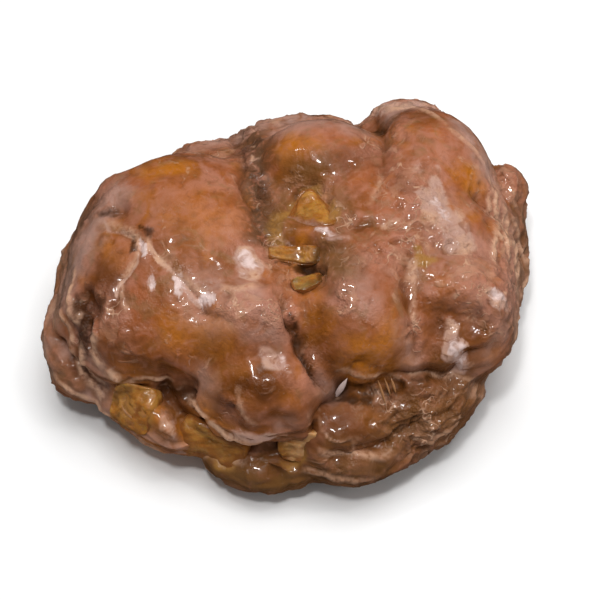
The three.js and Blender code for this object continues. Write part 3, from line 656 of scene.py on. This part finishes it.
class Finish:  # a material and the one method that adds its nodes
    def __init__(self, name):
        self.material = bpy.data.materials.new(name)
        self.material.use_nodes = True
        self.tree = self.material.node_tree
        self.tree.nodes.clear()

    def add(self, kind, settings=None, sockets=None, out=0):
        node = self.tree.nodes.new("ShaderNode" + kind)
        for name, value in (settings or {}).items():
            setattr(node, name, value)
        for key, value in (sockets or {}).items():
            if isinstance(value, Wire):
                self.tree.links.new(value.socket, node.inputs[key])
            else:
                node.inputs[key].default_value = value
        return Wire(self, node.outputs[out]) if len(node.outputs) else None

    def masks(self, names):
        wires = {name: self.add("Attribute", {"attribute_name": name}, out="Fac") for name in names}
        return SimpleNamespace(**wires)

    def noise(self, place, size, detail=2, distortion=0):  # size of a feature
        sockets = {"Vector": place, "Scale": 1 / (size * mm), "Detail": detail, "Distortion": distortion}
        return self.add("TexNoise", {}, sockets, out="Fac")

    def noises(self, place, forms):
        return SimpleNamespace(**{name: self.noise(place, *form) for name, form in forms.items()})

    def ramp(self, value, low, high):
        sockets = {"Value": value, "From Min": low, "From Max": high}
        return self.add("MapRange", {"interpolation_type": "SMOOTHSTEP"}, sockets)

    def painted(self, tones, base, layers):  # layers over a base: each a tone's name or a wire, and its share
        colour = tone(*tones[base])
        for layer, share in layers:
            over = layer if isinstance(layer, Wire) else tone(*tones[layer])
            colour = self.add("Mix", {"data_type": "RGBA"}, {0: share, 6: colour, 7: over}, out=2)
        return colour

    def bump(self, depth, height):
        return self.add("Bump", {}, {"Strength": 1, "Distance": depth * mm, "Height": height})

    def close(self, sockets):
        self.add("OutputMaterial", {}, {"Surface": self.add("BsdfPrincipled", {}, sockets)})
        return self.material


# a colour as a screen shows it, 0 to 255, turned to the light it stands for
def tone(*levels):
    shown = np.array(levels) / 255
    linear = np.where(shown > 0.04045, ((shown + 0.055) / 1.055) ** 2.4, shown / 12.92)
    return (*(float(level) for level in linear), 1)


crust = {  # tones as a screen shows them
    "red": (150, 84, 48), "brown": (128, 72, 34), "blush": (166, 110, 88), "tan": (158, 124, 98),
    "amber": (168, 98, 18), "fruit": (150, 106, 52), "ash": (88, 60, 40), "moss": (104, 70, 36),
    "toast": (88, 45, 10), "frontShade": (124, 66, 10), "rim": (110, 72, 40), "deep": (52, 28, 10),
    "olive": (128, 96, 62), "glaze": (172, 136, 123), "pale": (192, 150, 122), "white": (214, 190, 184),
    "bumpDepth": 0.25,
    "noises": {  # size of a feature, detail, distortion
        "broad": (15,), "middle": (5, 3, 0.8), "fine": (1.2, 3), "mottle": (2.4, 4, 1), "scaly": (6, 5, 1.2),
        "amber": (12, 3, 0.8), "blush": (10, 4, 1.2), "olive": (8, 4, 1.5), "tan": (8, 3), "busy": (9, 3),
        "arcs": (4, 1, 0.6), "arcPlaces": (5,), "sparkly": (10, 2), "sparks": (0.9, 2), "sugar": (6, 2),
        "white": (2.5, 3, 1), "dust": (0.5, 2), "crumbs": (0.8, 3), "coat": (7, 3),
    },
}


def crustFinish(names):
    f = Finish("glazed_crust")
    mask, noise = f.masks(names), f.noises(f.add("TexCoord", out="Object"), crust["noises"])
    busy = f.ramp(mask.crumb + 0.6 * noise.busy, 0.4, 1.1)
    arcs = (1 - f.ramp(abs(noise.arcs - 0.5), 0, 0.035)) * busy * f.ramp(noise.arcPlaces, 0.5, 0.6)
    flake = f.ramp(noise.scaly + 0.14 * busy, 0.62, 0.72)
    sparkly = f.ramp(noise.sparkly + 0.1 * mask.crumb, 0.55, 0.65)
    glazed = f.ramp(mask.glaze + (noise.scaly - 0.5), 0.26, 0.62)
    sugar = f.painted(crust, "glaze", [("pale", f.ramp(noise.sugar, 0.35, 0.75))])
    calm = 1 - 0.7 * mask.toast
    colour = f.painted(crust, "red", [
        ("brown", f.ramp(noise.broad, 0.35, 0.65)),
        ("amber", f.ramp(noise.amber, 0.5, 0.75) * 0.7),
        ("blush", f.ramp(noise.blush, 0.4, 0.65) * 0.75),
        ("olive", f.ramp(noise.olive, 0.52, 0.68) * 0.5),
        # darker towards the bottom: the lower layer's own tone, partly painted shade
        ("rim", mask.low * 0.7),
        ("tan", mask.steep * (1 - mask.front) * f.ramp(noise.tan, 0.25, 0.65) * 0.9),
        # painted shade: darker, more amber on slopes that face the front
        ("frontShade", mask.front * (1 - mask.low) * f.ramp(noise.middle, 0.1, 0.6) * 0.75),
        ("amber", mask.amber * f.ramp(noise.middle, 0.15, 0.55)),
        # darker toasted patches, partly painted shade in holes and under the lips
        ("toast", mask.toast * f.ramp(noise.middle, -0.3, 0.6)),
        ("toast", f.ramp(noise.mottle, 0.48, 0.72) * 0.28),
        ("blush", f.ramp(noise.mottle, 0.5, 0.28) * calm * 0.4),
        ("glaze", mask.veil * f.ramp(noise.middle, 0.2, 0.6)),
        ("pale", flake * calm * 0.35),
        ("blush", mask.ridge * calm * 0.4),
        # painted shade: darker in narrow creases
        ("toast", mask.hollow * 0.6),
        ("blush", busy * (1 - 0.7 * mask.low) * f.ramp(noise.middle, 0.3, 0.6) * 0.5),
        ("moss", mask.moss * f.ramp(noise.mottle, 0.1, 0.5) * 0.95),
        ("fruit", f.ramp(mask.fruit + 0.5 * (noise.mottle - 0.5), 0.15, 0.75) * 0.9),
        ("ash", mask.ash * f.ramp(noise.mottle, 0.3, 0.55) * 0.9),
        ("pale", arcs * 0.9),
        # painted shade: dark in broad recesses
        ("deep", f.ramp(mask.deep, 0.1, 0.9) * 0.9),
        # painted shade in pits, cracks and gaps
        ("deep", f.ramp(mask.burnt + 0.9 * (noise.mottle - 0.5), 0.1, 0.9) * 0.85),
        # dried glaze, partly painted reflection of the surroundings in the glaze
        (sugar, glazed * (1 - 0.7 * f.ramp(noise.mottle, 0.5, 0.7)) * 0.9),
        # pale glaze ridges, partly painted highlight along the lip edges
        ("pale", mask.pale * f.ramp(noise.fine, 0.2, 0.6)),
        # painted highlight: white spots for glints of light on the glaze
        ("white", f.ramp(mask.white + 1.8 * (noise.white - 0.5), 0.3, 1) * 0.9),
    ])
    height = noise.fine * 0.7 + noise.dust * 0.3 + mask.crumb * noise.crumbs
    height = height + arcs * 0.6 + flake * 0.5 + (sparkly + busy) * noise.sparks * 1.2
    wet = f.ramp(noise.coat, 0.35, 0.65) * 0.8 + 0.4 * mask.crumb
    return f.close({
        "Base Color": colour,
        "Roughness": 0.28 + 0.3 * mask.deep + 0.2 * f.ramp(noise.middle, 0.4, 0.7),
        "IOR": 1.45,
        "Specular IOR Level": 0.3,
        "Coat Weight": wet * (1 - f.ramp(mask.deep, 0, 0.5)),
        "Coat Roughness": 0.07,
        "Normal": f.bump(crust["bumpDepth"], height),
    })


# diced apple: width, depth and height, place on the skin in percent, heading in degrees, taper to the back, how far it
# stands proud of the smoothed dough, and how green it is, 0 to 1
apple = {
    "cells": 28, "squareness": 5,
    "chunks": {
        "cleft_upper": ((10, 15, 8), (8, 15, 84), 4, 0.7, 0.9, 0),
        "cleft_lower": ((14, 5, 8), (2, -8.5, 86), -3, 0, 1.1, 0.1),
        "cleft_small": ((8, 4, 7), (7, -23.2, 83), 14, 0, 0.4, 1),
        "front_left": ((12, 12, 8), (-63, -66, 41), -20, 0, 0.6, 0),
        "front": ((18, 11, 8), (-29, -81, 34), -38, 0, 2.2, 0.2),
        "front_centre": ((12, 10, 7), (5, -85, 38), 0, 0, 0.7, 0),
    },
    "dents": (0.9, 8, 70, 2),  # height, size, start of the seed, layers
    "nicks": (0.15, 4, 90, 2),
    "lumps": (0.5, 6, 40, 2),
    "crinkles": (0.35, 3.5, 50, 2),
    "pressed": 1.2,  # millimetres by which the top of a die is pressed in
    "pressPlaces": (5, 30, -0.5, 0.7),  # size, start of the seed, range of the noise
    "pressEdge": 0.5,
    "skinReach": 16,  # millimetres round a die in which the nearest corner of the skin is looked for
    "normalReach": 5,
    "blocks": 12,  # parts into which a die's corners are split for that, to save memory
    "fray": (3, 1, 85),
    "glazed": [  # where dough and glaze run over the apple: strength, radius, route
        (1, 5, (-3, 8), (4, 3), (9, 2)), (0.5, 2, (-7, -4), (10, -5)),
    ],
    "straw": [  # painted light: where apple lying in the shade of the lips is made paler
        (0.9, 7, (2, -86), (8, -86)), (0.6, 3, (-64, -66), (-60, -70)),
    ],
    "dark": [  # where it lies in shade
        (1, 5, (13, -10), (17, -12)), (0.8, 3, (12, -21)),
    ],
    "flesh": (158, 98, 32), "pale": (176, 122, 58), "olive": (106, 66, 20), "edge": (132, 78, 32),
    "veil": (150, 108, 88), "gold": (190, 140, 60), "green": (124, 100, 56), "shade": (78, 50, 18),
    "paintedLightTone": (204, 154, 104),
    "bumpDepth": 0.3,
    "noises": {"middle": (5, 3), "fine": (0.9, 3), "olive": (5, 3, 0.5), "veil": (7, 3, 0.5)},
    "grain": (1.5, 2),
    "grainStretch": (0.3, 1, 1),
    "glowReach": (4 * mm, 2 * mm, 1 * mm),
}


# points pressed into a skin along a die's own up: a height h over the nearest corner, along its normal and less what
# noise takes off, becomes proud * tanh(h / proud), and the top is roughened; with each point's tanh(h / proud)
def settled(points, skin, normals, up, proud, seed):
    near = np.linalg.norm(skin - points.mean(0), axis=1) < apple["skinReach"]
    skin, normals = skin[near], normals[near]
    blocks = np.array_split(points, apple["blocks"])
    nearest = np.concatenate([np.argmin(((block[:, None] - skin[None]) ** 2).sum(2), axis=1) for block in blocks])
    height = np.maximum(((points - skin[nearest]) * normals[nearest]).sum(1), 0)
    size, start, low, high = apple["pressPlaces"]
    press = apple["pressed"] * islands(points, size, seed + start, low, high) * ease(height, 0, apple["pressEdge"])
    kept = np.tanh(np.maximum(height - press, 0) / proud)
    rough = wave(layeredNoise, points, apple["lumps"], seed) + wave(crinkles, points, apple["crinkles"], seed)
    return points + (proud * kept - height + kept * rough)[:, None] * up, kept


# a die with rounded edges: the ball's grids pushed out to |x|^n + |y|^n + |z|^n = 1, narrowed by taper * y and dented,
# then laid along the skin: its top along the mean normal round its place, its width along its heading
def chunkSurface(skin, normals, size, at, heading, taper, proud, seed):
    _, quads, _, ball = cubeGrids(apple["cells"])
    power = apple["squareness"]
    die = ball / (np.abs(ball) ** power).sum(1)[:, None] ** (1 / power)
    front = die[:, 1].copy()
    die[:, 0] *= 1 - taper * front
    points = die * np.array(size) / 2
    dents = wave(layeredNoise, points, apple["dents"], seed) + wave(crinkles, points, apple["nicks"], seed)
    points = points + dents[:, None] * ball
    gaps = np.linalg.norm(skin - placed(at), axis=1)
    up = unit(normals[gaps < gaps.min() + apple["normalReach"]].mean(0))
    right = unit(np.cross(np.cross(up, (*turnOf(heading), 0)), up))
    middle = skin[np.argmin(gaps)] + up * (proud + apple["pressed"] - size[2] / 2)
    return points @ np.stack((right, np.cross(up, right), up)) + middle, quads, front, up


def appleFinish(names):
    f = Finish("cooked_apple")
    place = f.add("TexCoord", out="Object")
    mask, noise = f.masks(names), f.noises(place, apple["noises"])
    stretched = f.add("VectorMath", {"operation": "MULTIPLY"}, {0: place, 1: apple["grainStretch"]})
    grain = f.noise(stretched, *apple["grain"])
    colour = f.painted(apple, "flesh", [
        ("pale", f.ramp(noise.middle, 0.42, 0.62)),
        ("green", mask.green * f.ramp(noise.middle, 0.2, 0.6)),
        ("olive", f.ramp(noise.olive, 0.42, 0.75) * 0.6),
        ("veil", f.ramp(noise.veil + 0.1 * mask.front, 0.55, 0.75) * 0.5),
        ("gold", f.ramp(grain, 0.48, 0.68) * 0.4),
        ("olive", f.ramp(grain, 0.5, 0.32) * 0.5),
        # painted shade: darker, olive front faces of the dice
        ("olive", f.ramp(mask.front, 0.7, 0.98) * 0.7),
        ("edge", 1 - f.ramp(mask.rise + 1.2 * noise.middle, 0.6, 1.5)),
        ("veil", f.ramp(mask.glazed + 0.8 * (noise.middle - 0.5), 0.2, 0.7) * 0.9),
        # painted light: paler apple where it lies in shade
        ("paintedLightTone", f.ramp(mask.straw + 2 * (grain - 0.5), 0.3, 1.1) * 0.7),
        ("shade", f.ramp(mask.dark + 0.6 * (noise.middle - 0.5), 0.1, 0.8) * 0.8),
    ])
    return f.close({
        "Base Color": colour,
        "Roughness": 0.3 + 0.1 * noise.fine,
        "Subsurface Weight": 0.3,
        "Subsurface Radius": apple["glowReach"],
        "Subsurface Scale": 1,
        "Coat Weight": 0.6,
        "Coat Roughness": 0.08,
        "Normal": f.bump(apple["bumpDepth"], noise.fine + noise.middle),
    })


points, quads, attributes, skin = doughSurface()
body = meshPiece("fritter_dough", points, quads, crustFinish(attributes), attributes)
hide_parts("dough")
skinNormals = cornerNormals(skin, quads)
spread = ("glazed", "straw", "dark")
appleFlesh = appleFinish(("rise", "front", "green", *spread))
for seed, (name, (*chunk, proud, green)) in enumerate(apple["chunks"].items()):
    points, quads, front, up = chunkSurface(skin, skinNormals, *chunk, proud, seed)
    points, rise = settled(points, skin, skinNormals, up, proud, seed)
    attributes = {"rise": rise, "front": -front, "green": np.full(len(points), green)}
    frayed = wandered(points, *apple["fray"])
    attributes.update({key: patches(frayed, apple[key]) for key in spread})
    piece = meshPiece("apple_" + name, points, quads, appleFlesh, attributes)
    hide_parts("apple_chunk_" + name)

# threads of glaze: both ends in percent, and the radius
glazeThreads = {
    "sliver": [((22.2, -61, 62), (17.2, -65, 46), 0.8)],
    "strands": [
        ((34, -61, 60.5), (37, -69.7, 52.5), 0.5),
        ((36.5, -60, 60.5), (39, -66.7, 54.5), 0.4),
        ((39, -60, 60.5), (41, -65.7, 55.5), 0.5),
    ],
    "sides": 10, "rings": 15, "flatness": 0.6,
    "endWidth": 0.05,  # of the width in the middle
    "leaning": (0.3, 0.9, 0.2),  # the broad side of a thread is square to this
    "white": (216, 194, 188),
    "clear": (158, 112, 74),
}


# a thread: flattened rings of radius r * (1 - (2t - 1)^2) strung between two places, closed at both ends
def threadSurface(start, end, radius):
    sides, rings = glazeThreads["sides"], glazeThreads["rings"]
    start, end = placed(start), placed(end)
    along = unit(end - start)
    across = unit(np.cross(along, glazeThreads["leaning"]))
    t, turn = np.meshgrid(np.linspace(0, 1, rings), np.arange(sides) * 2 * math.pi / sides, indexing="ij")
    width = radius * np.maximum(1 - (2 * t - 1) ** 2, glazeThreads["endWidth"])
    flat = glazeThreads["flatness"] * np.cross(along, across)
    ring = np.cos(turn)[..., None] * across + np.sin(turn)[..., None] * flat
    points = start + t[..., None] * (end - start) + width[..., None] * ring
    ids = np.arange(rings * sides).reshape(rings, sides)
    after = np.roll(ids, -1, 1)
    quads = np.stack((ids[:-1], after[:-1], after[1:], ids[1:]), -1).reshape(-1, 4)
    lid = np.stack([(0, k, k + 1, k + 2) for k in range(1, sides - 2, 2)])
    return points.reshape(-1, 3), np.concatenate((quads, ids[-1][lid], ids[0][lid[:, ::-1]]))


for name, colour in (("sliver", "white"), ("strands", "clear")):
    threads = [threadSurface(*thread) for thread in glazeThreads[name]]
    starts = np.cumsum([0] + [len(points) for points, _ in threads[:-1]])
    points = np.concatenate([points for points, _ in threads])
    quads = np.concatenate([quads + start for start, (_, quads) in zip(starts, threads)])
    sockets = {"Base Color": tone(*glazeThreads[colour]), "Roughness": 0.25, "Coat Weight": 0.5, "Coat Roughness": 0.08}
    meshPiece("glaze_" + name, points, quads, Finish("glaze_" + name).close(sockets))

# the camera stands at the photograph's angle, on the front side and 60 degrees up
shot = {"elevation": 60, "distance": 433, "target": (2.7, -8.4, 22.4), "lens": 100, "sensor": 36}
camera = bpy.data.cameras.new("camera")
camera.lens, camera.sensor_width = shot["lens"], shot["sensor"]
camera.clip_start, camera.clip_end = 0.01, 20
cameraObject = newObject("camera", camera)
level, rise = turnOf(shot["elevation"])
back = Vector((0, -level, rise))
cameraObject.location = (Vector(shot["target"]) + back * shot["distance"]) * mm
cameraObject.rotation_euler = back.to_track_quat("Z", "Y").to_euler()
bpy.context.scene.camera = cameraObject

# plain pale floor, white surroundings and soft lamps from above and from the right; lengths in metres
studio = {"floorSize": 3, "floorTone": (0.86, 0.86, 0.86, 1), "world": 0.2, "lamps": [
    ((0.08, 0.22, 0.8), 0.7, 5.6, False),  # place, width, watts, whether it shows in the gloss
    ((-0.08, -0.12, 0.8), 0.1, 2, True),
    ((-0.35, 0.2, 0.7), 0.05, 0.3, True),
    ((0.3, 0.1, 0.75), 0.05, 0.3, True),
    ((0.6, -0.15, 0.35), 0.5, 0.8, False),
]}
half = studio["floorSize"] / 2
floorMesh = bpy.data.meshes.new("floor")
floorMesh.from_pydata([(-half, -half, 0), (half, -half, 0), (half, half, 0), (-half, half, 0)], [], [(0, 1, 2, 3)])
floor = newObject("floor", floorMesh)
floorMesh.materials.append(Finish("pale_floor").close({"Base Color": studio["floorTone"], "Roughness": 0.8}))
floor.visible_glossy = False
world = bpy.data.worlds.new("studio")
world.use_nodes = True
background = world.node_tree.nodes["Background"].inputs
background["Color"].default_value = (1, 1, 1, 1)
background["Strength"].default_value = studio["world"]
world.cycles_visibility.glossy = False
bpy.context.scene.world = world
for number, (place, side, watts, glossy) in enumerate(studio["lamps"]):
    lamp = bpy.data.lights.new(f"lamp_{number}", "AREA")
    lamp.shape, lamp.size, lamp.energy = "DISK", side, watts
    lampObject = newObject(lamp.name, lamp)
    lampObject.location = place
    lampObject.visible_glossy = glossy
    lampObject.rotation_euler = Vector(place).to_track_quat("Z", "Y").to_euler()
bpy.context.scene.view_settings.view_transform = "Standard"
